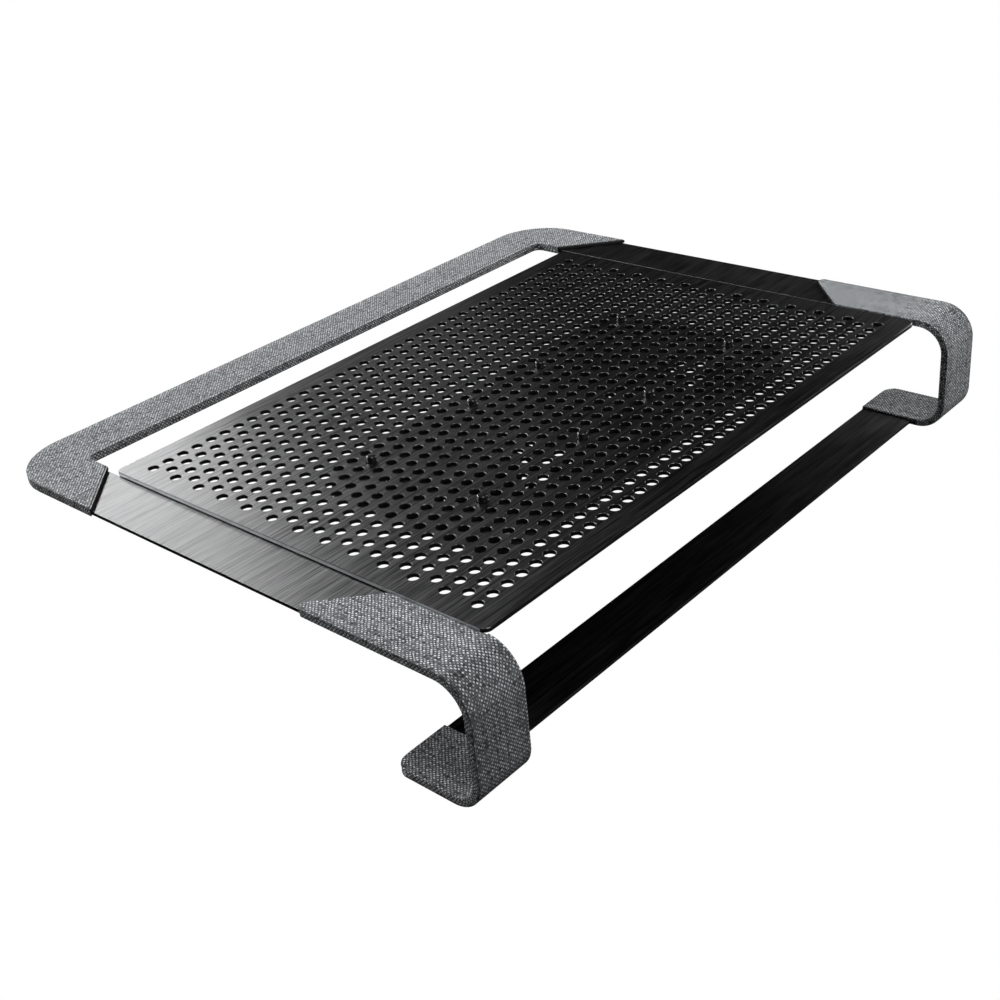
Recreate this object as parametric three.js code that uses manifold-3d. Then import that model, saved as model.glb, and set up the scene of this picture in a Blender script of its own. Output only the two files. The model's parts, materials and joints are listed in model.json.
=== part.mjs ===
// Laptop cooling pad: a perforated aluminium plate on two bent metal side straps, joined at the
// front by a fabric-wrapped U-shaped rail and at the back by a crossbar between the feet, with two
// fan modules pegged into the holes under the plate.
// Millimetres. The pad is drawn in its own frame: x to the user's right, y from the front edge of
// the rail towards the back, z square to the plate, with z = 0 on the plate's upper face. The whole
// pad is then tilted so that its rubber pads stand on the desk plane.
import * as THREE from 'three';
import { mergeVertices } from 'three/addons/utils/BufferGeometryUtils.js';
import Module from 'manifold-3d';

const wasm = await Module();
wasm.setup();

// ---- driving dimensions -------------------------------------------------------------------------
const WIDTH = 364.6;                // across the fabric
const HEIGHT = 57;                  // plate's upper face to the underside of the feet, square to the plate
const LEG_BACK = 281.6;             // back face of the legs
const FOOT_FRONT = 238.2;           // front edge of the feet
const SLIT = 0.15;                  // clearance between stacked sheets
const GAP = 0.3;                    // clearance between neighbouring pieces

const SHEET = 1.65;                 // strap and crossbar thickness
const STRAP_TOP = -2.15;
const STRAP_OUTER = 181.7;
const STRAP_INNER = 156.0;

const FABRIC = 0.45;                // fabric thickness at the sides of a sleeve
const COVER_OUTER = WIDTH / 2;
const COVER_INNER = 155.2;
const RAIL = { top: -0.2, bottom: -4.4, depth: 26.8, outerRadius: 29.2, innerRadius: 4, armEnd: 41.9 };
const CAP_THICKNESS = 0.85;

const LEG = { half: 1.75, upperRadius: 14.05, lowerRadius: 12.2, start: 221.3, tipRadius: 2.8 };
const FOOT_CORNER = 6.8;
const CROSSBAR = { front: 238.8, back: 264.9, fillet: 2.3, lap: 11 };
const RIVET_RADIUS = 1.5;
const TONGUE = 28;                  // front end of a strap, inside the rail

const PLATE = { width: 306.1, depth: 216.2, thickness: 1.85, front: 50.4, shift: 3.2, corner: 3.5 };
const PITCH = 7.9;                  // hole spacing along a row, and between rows
const HOLE_RADIUS = 2.5;
const HOLE_MARGIN = 13.05;         // front edge of the plate to the first row
const COLUMNS = 36;                 // pitches along the first row
const ROWS = 24;                    // pitches from the first row to the last

// A strip along each strap carries the plate's edge; its tabs are screwed up into the strap.
const SUPPORT = { front: 46.2, backMargin: 4.5, ridge: 2.3, web: 0.9, underPlate: 6.4, boss: 7 };
const TAB = { length: 16, thickness: 1.2, reach: 12 };
const SCREW = { radius: 1.1, hole: 1.35, head: 2.2, headHeight: 1.1 };
const STRAP_SCREWS = [95, 180];
const PLATE_SCREWS = [75, 250];

// A fan's housing reaches further towards the other fan and the back than to its outer side and front.
const FAN = {
  inner: 55, outer: 47, front: 47, back: 55, depth: 12, top: -2.3, corner: 8, bore: 41, base: 1.6,
  pegSpan: 8 * PITCH,
};
const FAN_OFFSET = 7 * PITCH;       // fan centre from the plate's middle
const FAN_ROW = 14 * PITCH;         // fan centre behind the first row
const GUARD_RINGS = [24.5, 32.5];
const HUB = { radius: 17, wall: 1.2, top: -3.4, depth: 9 };
const BLADES = { count: 9, tip: 40, top: -4.0, bottom: -11.8, sweep: 0.62, chord: 0.42, thickness: 1.0 };
const SHAFT_RADIUS = 0.95;
const POST = { inner: 2.75, outer: 3.9, top: -6 };
const PEG = { radius: 2.15, top: 2.9, bottom: -11 };
const SOCKET = { x: 19, width: 9, depth: 7.5, height: 5.5 };

const STEP = Math.PI / 12;          // one facet of a rounded corner

// ---- values worked out from them ----------------------------------------------------------------
const STRAP_MIDDLE = STRAP_TOP - SHEET / 2;
const FOOT_MIDDLE = -HEIGHT + LEG.half;
const LEG_MIDDLE = LEG_BACK - LEG.half;
const PLATE_BACK = PLATE.front + PLATE.depth;
const FIRST_ROW = PLATE.front + HOLE_MARGIN;
const LAP = { front: CROSSBAR.front + 1.5, back: CROSSBAR.back - 1, x: STRAP_INNER + CROSSBAR.lap / 2 };
const RIVETS = [LAP.front + 5, LAP.back - 5];
const STRAP_SCREW_X = STRAP_INNER + 7;
const plateEdge = (side) => PLATE.width / 2 + side * PLATE.shift;
const plateScrewX = (side) => plateEdge(side) - 3.4;
const FAN_BOTTOM = FAN.top - FAN.depth;
const BASE_TOP = FAN_BOTTOM + FAN.base;
const TILT = Math.atan2(HEIGHT + RAIL.bottom, FOOT_FRONT);
const DESK = RAIL.bottom * Math.cos(TILT) - 0.9;   // desk plane, measured square to the desk
const deskAt = (y) => (DESK - y * Math.sin(TILT)) / Math.cos(TILT);

// ---- materials ----------------------------------------------------------------------------------
const material = (color, roughness, metalness) =>
  new THREE.MeshStandardMaterial({ color, roughness, metalness });
const BRUSHED = material(0x1b1c1e, 0.35, 0.9);
const SATIN = material(0x2a2b2d, 0.45, 0.8);
const FABRIC_GREY = material(0x6e7276, 0.95, 0.0);
const BLACK_PLASTIC = material(0x141415, 0.5, 0.0);
const GLOSSY_PLASTIC = material(0x0c0c0d, 0.18, 0.0);
const RUBBER = material(0x1a1a1a, 0.9, 0.0);
const STEEL = material(0x9a9da1, 0.35, 1.0);
const BRONZE = material(0x9c6f3c, 0.5, 0.8);
const MAGNET = material(0x3b3936, 0.7, 0.3);
const COPPER = material(0xb4622c, 0.4, 0.9);
const BOARD = material(0x1f5a36, 0.55, 0.0);

// ---- geometry helpers ---------------------------------------------------------------------------
const vec = (x, y) => new THREE.Vector2(x, y);

function arc(x, y, radius, from, to) {
  const count = Math.max(2, Math.round(Math.abs(to - from) / STEP));
  return Array.from({ length: count + 1 }, (_, i) => {
    const angle = from + ((to - from) * i) / count;
    return vec(x + radius * Math.cos(angle), y + radius * Math.sin(angle));
  });
}

// A closed outline from corners [x, y, radius], each rounded by its own radius.
function rounded(corners) {
  return corners.flatMap(([x, y, radius], i) => {
    const corner = vec(x, y);
    if (!radius) return [corner];
    const before = vec(...corners.at(i - 1)).sub(corner).normalize();
    const after = vec(...corners[(i + 1) % corners.length]).sub(corner).normalize();
    const half = Math.acos(before.dot(after)) / 2;
    const bisector = before.clone().add(after).normalize();
    const centre = bisector.multiplyScalar(radius / Math.sin(half)).add(corner);
    const start = before.multiplyScalar(radius / Math.tan(half)).add(corner).sub(centre);
    const end = after.multiplyScalar(radius / Math.tan(half)).add(corner).sub(centre);
    const turn = Math.atan2(start.cross(end), start.dot(end));
    return arc(centre.x, centre.y, radius, start.angle(), start.angle() + turn);
  });
}

const rectangle = (x0, y0, x1, y1, radius = 0) =>
  rounded([[x0, y0, radius], [x1, y0, radius], [x1, y1, radius], [x0, y1, radius]]);

const circle = (x, y, radius, sides = 24) =>
  Array.from({ length: sides }, (_, i) => {
    const angle = (2 * Math.PI * (i + 0.5)) / sides;
    return vec(x + radius * Math.cos(angle), y + radius * Math.sin(angle));
  });

// A plate of the outline's shape between two heights, with holes.
function slab(outline, bottom, top, holes = []) {
  const shape = new THREE.Shape(outline);
  shape.holes = holes.map((hole) => new THREE.Path(hole));
  const geometry = new THREE.ExtrudeGeometry(shape, { depth: top - bottom, bevelEnabled: false });
  return geometry.translate(0, 0, bottom);
}

// A bar whose outline is drawn in (y, z) and which runs along x.
const ACROSS = new THREE.Matrix4().makeBasis(
  new THREE.Vector3(0, 1, 0), new THREE.Vector3(0, 0, 1), new THREE.Vector3(1, 0, 0));
const barAcross = (outline, x0, x1) => slab(outline, x0, x1).applyMatrix4(ACROSS);

const block = (x0, y0, z0, x1, y1, z1) => slab(rectangle(x0, y0, x1, y1), z0, z1);
const pin = (x, y, radius, bottom, top, sides = 16) => slab(circle(x, y, radius, sides), bottom, top);

// A turned piece about a vertical axis from a closed (radius, height) outline.
function turned(outline, x, y, sides = 24) {
  const points = [...outline, outline[0]].map(([radius, height]) => vec(radius, height));
  return new THREE.LatheGeometry(points, sides).rotateX(Math.PI / 2).translate(x, y, 0);
}
const ring = (x, y, inner, outer, bottom, top, sides = 24) =>
  turned([[inner, bottom], [outer, bottom], [outer, top], [inner, top]], x, y, sides);

function solid(geometry) {
  const bare = geometry.clone();
  bare.deleteAttribute('normal');
  bare.deleteAttribute('uv');
  const merged = mergeVertices(bare, 1e-4);
  return new wasm.Manifold(new wasm.Mesh({
    numProp: 3,
    vertProperties: Float32Array.from(merged.attributes.position.array),
    triVerts: Uint32Array.from(merged.index.array),
  }));
}

function geometryOf(manifold) {
  const mesh = manifold.getMesh();
  const geometry = new THREE.BufferGeometry();
  geometry.setAttribute('position', new THREE.BufferAttribute(mesh.vertProperties, 3));
  geometry.setIndex(new THREE.BufferAttribute(mesh.triVerts, 1));
  geometry.computeVertexNormals();
  return geometry;
}

const joined = (...pieces) => pieces.map(solid).reduce((all, piece) => all.add(piece));
const cut = (body, ...tools) => tools.map(solid).reduce((all, tool) => all.subtract(tool), body);

const pad = new THREE.Group();
function place(name, geometry, finish) {
  const mesh = new THREE.Mesh(geometry, finish);
  mesh.name = name;
  pad.add(mesh);
}

// Both sides are drawn on the right; the left one is its mirror image.
const SIDES = [['right', 1], ['left', -1]];
function sided(geometry, side) {
  if (side > 0) return geometry;
  const mirrored = mergeVertices(geometry.clone().scale(-1, 1, 1));
  mirrored.setIndex(Array.from(mirrored.index.array).reverse());
  return mirrored;
}

// ---- side straps, legs and crossbar -------------------------------------------------------------
// Outline of the bent strap or of its sleeve: along the side, down the leg and forward into the foot.
function bentOutline(half, startY, endY) {
  const upper = [LEG_MIDDLE - LEG.upperRadius, STRAP_MIDDLE - LEG.upperRadius];
  const lower = [LEG_MIDDLE - LEG.lowerRadius, FOOT_MIDDLE + LEG.lowerRadius];
  return [
    vec(startY, STRAP_MIDDLE - half),
    ...arc(...upper, LEG.upperRadius - half, Math.PI / 2, 0),
    ...arc(...lower, LEG.lowerRadius - half, 0, -Math.PI / 2),
    vec(endY, FOOT_MIDDLE + half),
    vec(endY, FOOT_MIDDLE - half),
    ...arc(...lower, LEG.lowerRadius + half, -Math.PI / 2, 0),
    ...arc(...upper, LEG.upperRadius + half, 0, Math.PI / 2),
    vec(startY, STRAP_MIDDLE + half),
  ];
}

// Rounds the outer front corner of a foot: everything above the foot is left whole.
function footMask(inner, outer, front, corner) {
  const middle = -HEIGHT / 2;
  return joined(
    slab(rounded([[inner, front, 0], [outer, front, corner],
      [outer, 2 * LEG_BACK, 0], [inner, 2 * LEG_BACK, 0]]), -2 * HEIGHT, middle),
    block(inner, -1, middle, outer, 2 * LEG_BACK, HEIGHT));
}

const rivetHoles = (side) => RIVETS.map((y) =>
  pin(side * LAP.x, y, RIVET_RADIUS + SLIT, FOOT_MIDDLE - 3, FOOT_MIDDLE + 3, 12));

function sideStrap() {
  const bar = barAcross(bentOutline(SHEET / 2, TONGUE, CROSSBAR.front), STRAP_INNER, STRAP_OUTER);
  const shaped = solid(bar).intersect(
    footMask(STRAP_INNER, STRAP_OUTER, CROSSBAR.front, FOOT_CORNER - FABRIC));
  const lap = block(STRAP_INNER - 1, LAP.front - GAP, FOOT_MIDDLE - 3,
    STRAP_INNER + CROSSBAR.lap + GAP, LAP.back + GAP, FOOT_MIDDLE);
  const threads = STRAP_SCREWS.map((y) =>
    pin(STRAP_SCREW_X, y, SCREW.hole, STRAP_TOP - 3, STRAP_TOP - 0.4, 12));
  return geometryOf(cut(shaped, lap, ...rivetHoles(1), ...threads));
}

// Sleeve over the leg and foot, open along its 45 degree start; the plate's edge sits in a step
// pressed into its inner edge wherever the two meet.
function legCover(side) {
  const wall = LEG.half - SHEET / 2 - SLIT;
  const outside = solid(
    barAcross(bentOutline(LEG.half, LEG.start - 40, FOOT_FRONT), COVER_INNER, COVER_OUTER));
  const width = COVER_OUTER - COVER_INNER;
  const middle = -HEIGHT / 2;
  const mask = joined(
    slab(rounded([[COVER_INNER, LEG.start, 0], [COVER_OUTER, LEG.start - width, LEG.tipRadius],
      [COVER_OUTER, 2 * LEG_BACK, 0], [COVER_INNER, 2 * LEG_BACK, 0]]), middle, HEIGHT),
    slab(rounded([[COVER_INNER, FOOT_FRONT, 0.8], [COVER_OUTER, FOOT_FRONT, FOOT_CORNER],
      [COVER_OUTER, 2 * LEG_BACK, 0], [COVER_INNER, 2 * LEG_BACK, 0]]), -2 * HEIGHT, middle));
  const hollowOuter = COVER_OUTER - FABRIC;
  const hollowInner = COVER_INNER + FABRIC;
  const hollowFront = FOOT_FRONT + FABRIC;
  const hollowOutline = bentOutline(LEG.half - wall, LEG.start - 60, hollowFront);
  const hollow = solid(barAcross(hollowOutline, hollowInner, hollowOuter)).intersect(
    footMask(hollowInner, hollowOuter, hollowFront, FOOT_CORNER - FABRIC));
  const slotBack = LEG_MIDDLE - LEG.lowerRadius;
  const slot = block(COVER_INNER - 1, hollowFront, FOOT_MIDDLE - SHEET / 2 - SLIT,
    COVER_INNER + 2, slotBack, FOOT_MIDDLE + SHEET / 2 + SLIT);
  const edge = plateEdge(side) + GAP;
  const step = block(COVER_INNER - 1, LEG.start - 40, STRAP_TOP, edge, PLATE_BACK + GAP, 1);
  const sleeve = cut(outside.intersect(mask).subtract(hollow), slot);
  return geometryOf(plateEdge(side) > COVER_INNER ? cut(sleeve, step) : sleeve);
}

// The crossbar widens at its ends, where a half-thickness lap is riveted under each strap.
function crossbar() {
  const end = STRAP_INNER - GAP;
  const flare = CROSSBAR.back + CROSSBAR.fillet;
  const half = [
    ...arc(end - CROSSBAR.fillet - 1, CROSSBAR.back + CROSSBAR.fillet, CROSSBAR.fillet, -Math.PI / 2, 0),
    vec(end, flare), vec(end, CROSSBAR.front)];
  const outline = [...half, ...half.map(({ x, y }) => vec(-x, y)).reverse()];
  const laps = SIDES.map(([, side]) => slab(rectangle(side * (end - 1), LAP.front,
    side * (STRAP_INNER + CROSSBAR.lap), LAP.back), FOOT_MIDDLE - SHEET / 2, FOOT_MIDDLE - SLIT));
  const holes = SIDES.flatMap(([, side]) => rivetHoles(side));
  const bar = slab(outline, FOOT_MIDDLE - SHEET / 2, FOOT_MIDDLE + SHEET / 2);
  return geometryOf(cut(joined(bar, ...laps), ...holes));
}

const rivet = (y) =>
  pin(LAP.x, y, RIVET_RADIUS, FOOT_MIDDLE - SHEET / 2, FOOT_MIDDLE + SHEET / 2, 12);

// ---- front rail ---------------------------------------------------------------------------------
// Plan of the U, drawn inside the fabric's outline by inset; its arms end on 45 degree cuts, which
// reach further back by extra.
function railPlan(inset, extra = 0) {
  const outer = COVER_OUTER - inset;
  const inner = COVER_INNER + inset;
  const innerEnd = RAIL.armEnd + inset + extra;
  const outerEnd = RAIL.armEnd + COVER_OUTER - COVER_INNER - inset + extra;
  const front = inset;
  const back = RAIL.depth - inset;
  const outerRadius = RAIL.outerRadius - inset;
  const innerRadius = RAIL.innerRadius + inset;
  return rounded([
    [-outer, front, outerRadius], [outer, front, outerRadius], [outer, outerEnd, 0],
    [inner, innerEnd, 0], [inner, back, innerRadius], [-inner, back, innerRadius],
    [-inner, innerEnd, 0], [-outer, outerEnd, 0]]);
}

function railCover() {
  const hollow = slab(railPlan(FABRIC, 2 * FABRIC), RAIL.bottom + FABRIC, RAIL.top - FABRIC);
  return geometryOf(cut(solid(slab(railPlan(0), RAIL.bottom, RAIL.top)), hollow));
}

// Solid U with a recess under each arm for the end of a side strap.
function railCore() {
  const inset = FABRIC + SLIT;
  const body = solid(slab(railPlan(inset, -0.5), RAIL.bottom + inset, RAIL.top - inset));
  const armEnd = RAIL.armEnd + 2 * RAIL.depth;
  const recesses = [[COVER_INNER, WIDTH], [-WIDTH, -COVER_INNER]].map(([x0, x1]) =>
    block(x0, TONGUE - GAP, RAIL.bottom - 1, x1, armEnd, STRAP_TOP + SLIT));
  return geometryOf(cut(body, ...recesses));
}

// Strip that closes the end of the fabric above the strap.
function railCap() {
  const start = 0.15;
  const reach = (start + CAP_THICKNESS) * Math.SQRT2;
  const near = start * Math.SQRT2;
  const outerEnd = RAIL.armEnd + COVER_OUTER - COVER_INNER;
  return slab([
    vec(COVER_INNER, RAIL.armEnd + near), vec(COVER_OUTER, outerEnd + near),
    vec(COVER_OUTER, outerEnd + reach), vec(COVER_INNER, RAIL.armEnd + reach)].reverse(),
  STRAP_TOP + SLIT, RAIL.top - 0.1);
}

// ---- top plate and its side supports ------------------------------------------------------------
// Every second hole of every fourth row, which includes the eight that take the fan pegs.
function ventHoles() {
  const takesPeg = (x, y) => pegPlaces().some(([pegX, pegY]) => Math.hypot(x - pegX, y - pegY) < 1);
  const holes = [];
  for (let row = 2; row <= ROWS; row += 4) {
    for (let column = 1; column <= COLUMNS; column += 2) {
      const x = PLATE.shift + (COLUMNS / 2 - column) * PITCH;
      const y = FIRST_ROW + row * PITCH;
      holes.push(circle(x, y, HOLE_RADIUS, takesPeg(x, y) ? 12 : 6));
    }
  }
  return holes;
}

function topPlate() {
  const outline = rectangle(-plateEdge(-1), PLATE.front, plateEdge(1), PLATE_BACK, PLATE.corner);
  const sheet = slab(outline, -PLATE.thickness, 0, ventHoles());
  const threads = SIDES.flatMap(([, side]) => PLATE_SCREWS.map((y) =>
    pin(side * plateScrewX(side), y, SCREW.hole, -PLATE.thickness - 1, -0.5, 12)));
  return geometryOf(cut(solid(sheet), ...threads));
}

// Strip along the inner edge of a side strap. A ridge level with the strap runs beside it, from ahead
// of the plate where the plate leaves it in view; a thinner web reaches under the plate and rises to
// it at the screws; two tabs reach under the strap.
function plateSupport(side) {
  const inner = plateEdge(side) - SUPPORT.underPlate;
  const outer = STRAP_INNER - GAP;
  const besideLeg = COVER_INNER - GAP;
  const front = plateEdge(side) < outer ? SUPPORT.front : PLATE.front + 2;
  const back = PLATE_BACK - SUPPORT.backMargin;
  const bottom = STRAP_TOP - SHEET;
  const ridge = slab([
    vec(outer - SUPPORT.ridge, front), vec(outer, front), vec(outer, LEG.start - 2),
    vec(besideLeg, LEG.start - 2), vec(besideLeg, back), vec(outer - SUPPORT.ridge, back)],
  bottom, STRAP_TOP);
  const web = block(inner, PLATE.front + 2, bottom, outer - 1, back, bottom + SUPPORT.web);
  const bossEdge = Math.min(plateEdge(side) - 0.8, besideLeg);
  const bosses = PLATE_SCREWS.map((y) =>
    block(inner, y - SUPPORT.boss / 2, bottom, bossEdge, y + SUPPORT.boss / 2, STRAP_TOP));
  const low = bottom - SLIT - TAB.thickness;
  const tabs = STRAP_SCREWS.flatMap((y) => {
    const [tabFront, tabBack] = [y - TAB.length / 2, y + TAB.length / 2];
    return [block(inner, tabFront, low, outer + TAB.reach, tabBack, bottom - SLIT),
      block(inner, tabFront, low, outer, tabBack, bottom + 0.5)];
  });
  const plateHoles = PLATE_SCREWS.map((y) => pin(plateScrewX(side), y, SCREW.hole, bottom - 1, 0, 12));
  const strapHoles = STRAP_SCREWS.map((y) =>
    pin(STRAP_SCREW_X, y, SCREW.hole, bottom - 4, bottom + 1, 12));
  return geometryOf(cut(joined(ridge, web, ...bosses, ...tabs), ...plateHoles, ...strapHoles));
}

// Pan-head screw pointing up, with the underside of its head at height seat.
function screw(x, y, seat, tip) {
  return turned([[0, seat - SCREW.headHeight], [SCREW.head * 0.75, seat - SCREW.headHeight],
    [SCREW.head, seat - SCREW.headHeight / 2], [SCREW.head, seat], [SCREW.radius, seat],
    [SCREW.radius, tip], [0, tip]], x, y, 12);
}

// ---- rubber pads --------------------------------------------------------------------------------
// Wedge whose underside lies on the desk plane.
function rubberPad(x0, x1, front, back, top) {
  const outline = [vec(front, deskAt(front)), vec(back, deskAt(back)), vec(back, top), vec(front, top)];
  return barAcross(outline, x0, x1);
}

// ---- fan modules --------------------------------------------------------------------------------
const fanCentre = (side) => [PLATE.shift + side * FAN_OFFSET, FIRST_ROW + FAN_ROW];
const CORNERS = [['front_left', -1, -1], ['front_right', 1, -1], ['back_left', -1, 1], ['back_right', 1, 1]];
const pegsAround = (x, y) => CORNERS.map(([, right, back]) =>
  [x + (right * FAN.pegSpan) / 2, y + (back * FAN.pegSpan) / 2]);
const pegPlaces = () => SIDES.flatMap(([, side]) => pegsAround(...fanCentre(side)));

// Housing with a round duct; four struts and two guard rings across its bottom carry the motor.
function fanFrame(x, y, side) {
  const [left, right] = side > 0 ? [FAN.inner, FAN.outer] : [FAN.outer, FAN.inner];
  const outline = rectangle(x - left, y - FAN.front, x + right, y + FAN.back, FAN.corner);
  const shell = slab(outline, FAN_BOTTOM, FAN.top, [circle(x, y, FAN.bore, 32)]);
  const base = pin(x, y, HUB.radius + 1, FAN_BOTTOM, BASE_TOP, 20);
  const struts = [45, 135, 225, 315].map((degrees) => {
    const strut = block(HUB.radius - 1, -2.4, FAN_BOTTOM, FAN.bore + 1.5, 2.4, BASE_TOP);
    return strut.rotateZ((degrees * Math.PI) / 180).translate(x, y, 0);
  });
  const post = pin(x, y, POST.outer, BASE_TOP - 0.5, POST.top, 16);
  const postBore = pin(x, y, POST.inner, FAN_BOTTOM + 0.8, POST.top + 1, 16);
  const pegHoles = pegsAround(x, y).map(([pegX, pegY]) =>
    pin(pegX, pegY, PEG.radius + SLIT, PEG.bottom - GAP, 0, 12));
  const guards = GUARD_RINGS.map((radius) =>
    ring(x, y, radius - 0.8, radius + 0.8, FAN_BOTTOM, BASE_TOP, 24));
  const socketRoom = block(x + SOCKET.x - SOCKET.width / 2, y + FAN.back - SOCKET.depth, FAN_BOTTOM + 2,
    x + SOCKET.x + SOCKET.width / 2, y + FAN.back + 1, FAN_BOTTOM + 2 + SOCKET.height);
  const body = joined(shell, base, ...struts, ...guards, post);
  return geometryOf(cut(body, postBore, ...pegHoles, socketRoom));
}

// Nylon peg with a domed head that stands through a hole of the plate.
function fanPeg(x, y) {
  const { radius, top, bottom } = PEG;
  return turned([[0, bottom], [radius, bottom], [radius, top - 0.8], [radius * 0.92, top - 0.3],
    [radius * 0.62, top], [0, top]], x, y, 12);
}

// One swept and pitched blade, from the hub to the tip.
function blade(angle) {
  const stations = 4;
  const rows = Array.from({ length: stations }, (_, i) => {
    const t = i / (stations - 1);
    const radius = THREE.MathUtils.lerp(HUB.radius - 0.5, BLADES.tip, t);
    const lead = angle + BLADES.sweep * t * t;
    const trail = lead - BLADES.chord * (1 - 0.15 * t);
    const point = (turn, height) => [radius * Math.cos(turn), radius * Math.sin(turn), height];
    return [point(lead, BLADES.bottom), point(trail, BLADES.top - BLADES.thickness),
      point(trail, BLADES.top), point(lead, BLADES.bottom + BLADES.thickness)];
  });
  const positions = rows.flat(2);
  const index = [0, 1, 2, 0, 2, 3];
  for (let i = 0; i < stations - 1; i += 1) {
    for (let k = 0; k < 4; k += 1) {
      const [a, b] = [4 * i + k, 4 * i + ((k + 1) % 4)];
      index.push(a, a + 4, b, b, a + 4, b + 4);
    }
  }
  const last = 4 * (stations - 1);
  index.push(last, last + 2, last + 1, last, last + 3, last + 2);
  const geometry = new THREE.BufferGeometry();
  geometry.setAttribute('position', new THREE.Float32BufferAttribute(positions, 3));
  geometry.setIndex(index);
  return geometry;
}

function impeller(x, y) {
  const bottom = HUB.top - HUB.depth;
  const inside = HUB.radius - HUB.wall;
  const under = HUB.top - HUB.wall;
  const bore = SHAFT_RADIUS + 0.05;
  const cup = turned([[bore, under - 0.9], [3, under - 0.9], [3, under], [inside, under], [inside, bottom],
    [HUB.radius, bottom], [HUB.radius, HUB.top - 0.8], [HUB.radius - 0.8, HUB.top], [bore, HUB.top]], 0, 0);
  const blades = Array.from({ length: BLADES.count }, (_, i) => blade((2 * Math.PI * i) / BLADES.count));
  return geometryOf(joined(cup, ...blades)).translate(x, y, 0);
}

const magnetRing = (x, y) =>
  ring(x, y, 13.9, HUB.radius - HUB.wall - SLIT, -11.6, HUB.top - HUB.wall - GAP);
const shaft = (x, y) => turned([[0, -13.2], [0.8, -13.2], [0.8, -12.9], [0.6, -12.9], [0.6, -12.4],
  [SHAFT_RADIUS, -12.4], [SHAFT_RADIUS, HUB.top - 0.3], [0, HUB.top - 0.3]], x, y, 16);
const bearing = (x, y) => ring(x, y, SHAFT_RADIUS + 0.08, POST.inner - SLIT, -12.2, -6.2, 16);
const retainingClip = (x, y) => ring(x, y, 0.68, 2.0, -12.85, -12.5, 12);

// Four-pole laminated core with curved shoes, pressed on the bearing post.
function statorCore(x, y) {
  const [bottom, top] = [-10.4, -7.4];
  const hub = ring(0, 0, POST.outer + SLIT, 6.2, bottom, top, 24);
  const poles = [0, 90, 180, 270].flatMap((degrees) => {
    const neck = block(5.6, -1.5, bottom, 12, 1.5, top);
    const shoe = slab([...arc(0, 0, 13.2, -0.55, 0.55), ...arc(0, 0, 11.6, 0.55, -0.55)], bottom, top);
    return [neck, shoe].map((piece) => piece.rotateZ((degrees * Math.PI) / 180));
  });
  return geometryOf(joined(hub, ...poles)).translate(x, y, 0);
}

// Four wound coils around the poles' necks, joined by their bobbin ring under the core.
function windings(x, y) {
  const bobbin = ring(0, 0, POST.outer + SLIT, 8, -11.5, -10.7, 24);
  const coils = [0, 90, 180, 270].map((degrees) =>
    block(6.9, -2.6, -11.4, 11.2, 2.6, -6.5).rotateZ((degrees * Math.PI) / 180));
  const necks = [0, 90, 180, 270].map((degrees) =>
    block(5, -1.5 - SLIT, -10.4 - SLIT, 13, 1.5 + SLIT, -7.4 + SLIT).rotateZ((degrees * Math.PI) / 180));
  return geometryOf(cut(joined(bobbin, ...coils), ...necks)).translate(x, y, 0);
}

const driveBoard = (x, y) => ring(x, y, POST.outer + SLIT, 14.5, BASE_TOP + SLIT, BASE_TOP + 0.8, 24);

// Low-voltage inlet in the back wall of the module.
function powerSocket(x, y) {
  const back = y + FAN.back;
  const bottom = FAN_BOTTOM + 2 + SLIT;
  const top = FAN_BOTTOM + 2 + SOCKET.height - SLIT;
  const half = SOCKET.width / 2 - SLIT;
  const body = block(x + SOCKET.x - half, back - SOCKET.depth + SLIT, bottom,
    x + SOCKET.x + half, back, top);
  const bore = pin(0, 0, 1.75, 0, SOCKET.depth - 1.5, 16).rotateX(Math.PI / 2)
    .translate(x + SOCKET.x, back + 1, (bottom + top) / 2);
  const contact = pin(0, 0, 0.5, 0, SOCKET.depth - 2, 8).rotateX(Math.PI / 2)
    .translate(x + SOCKET.x, back - 1, (bottom + top) / 2);
  return geometryOf(cut(solid(body), bore).add(solid(contact)));
}

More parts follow.
